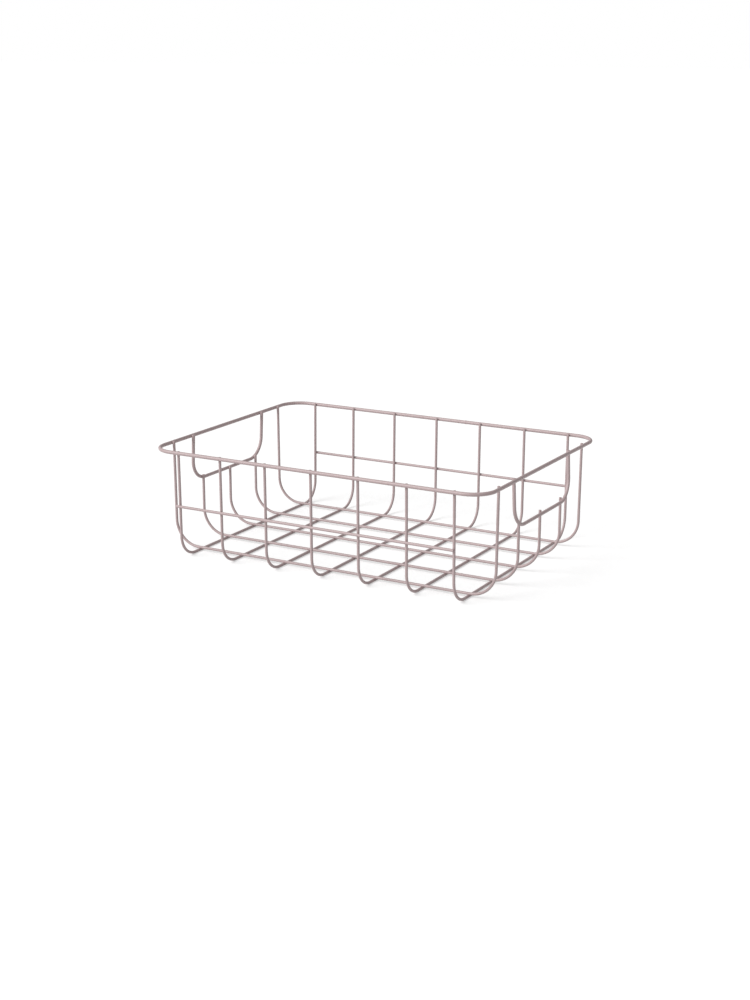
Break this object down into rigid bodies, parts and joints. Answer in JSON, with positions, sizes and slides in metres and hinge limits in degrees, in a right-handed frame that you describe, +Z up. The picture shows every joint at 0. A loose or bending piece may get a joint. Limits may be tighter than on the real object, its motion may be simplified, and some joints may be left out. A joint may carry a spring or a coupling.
{
  "type": "wire basket",
  "caption": "Open-top rectangular wire basket with a heavier rim, a drop handle at each short end and a rail along the middle of each long side.",
  "frame": {"origin": "middle of the footprint, on the plane that the basket rests on", "axes": "+X along the basket's length, +Y across to the side with the rim's butt weld, +Z up"},
  "size_m": [0.4, 0.2902, 0.1202],
  "materials": {
    "powder_coat": "satin dusty-rose powder coat on steel wire"
  },
  "bodies": {
    "root": {"rim": "powder_coat", "handle_left": "powder_coat", "handle_right": "powder_coat", "cross_wire_1": "powder_coat", "cross_wire_2": "powder_coat", "cross_wire_3": "powder_coat", "cross_wire_4": "powder_coat", "cross_wire_5": "powder_coat", "cross_wire_6": "powder_coat", "cross_wire_7": "powder_coat", "long_wire_1": "powder_coat", "long_wire_2": "powder_coat", "long_wire_3": "powder_coat", "long_wire_4": "powder_coat", "long_wire_5": "powder_coat", "front_rail": "powder_coat", "back_rail": "powder_coat"}
  },
  "joints": []
}
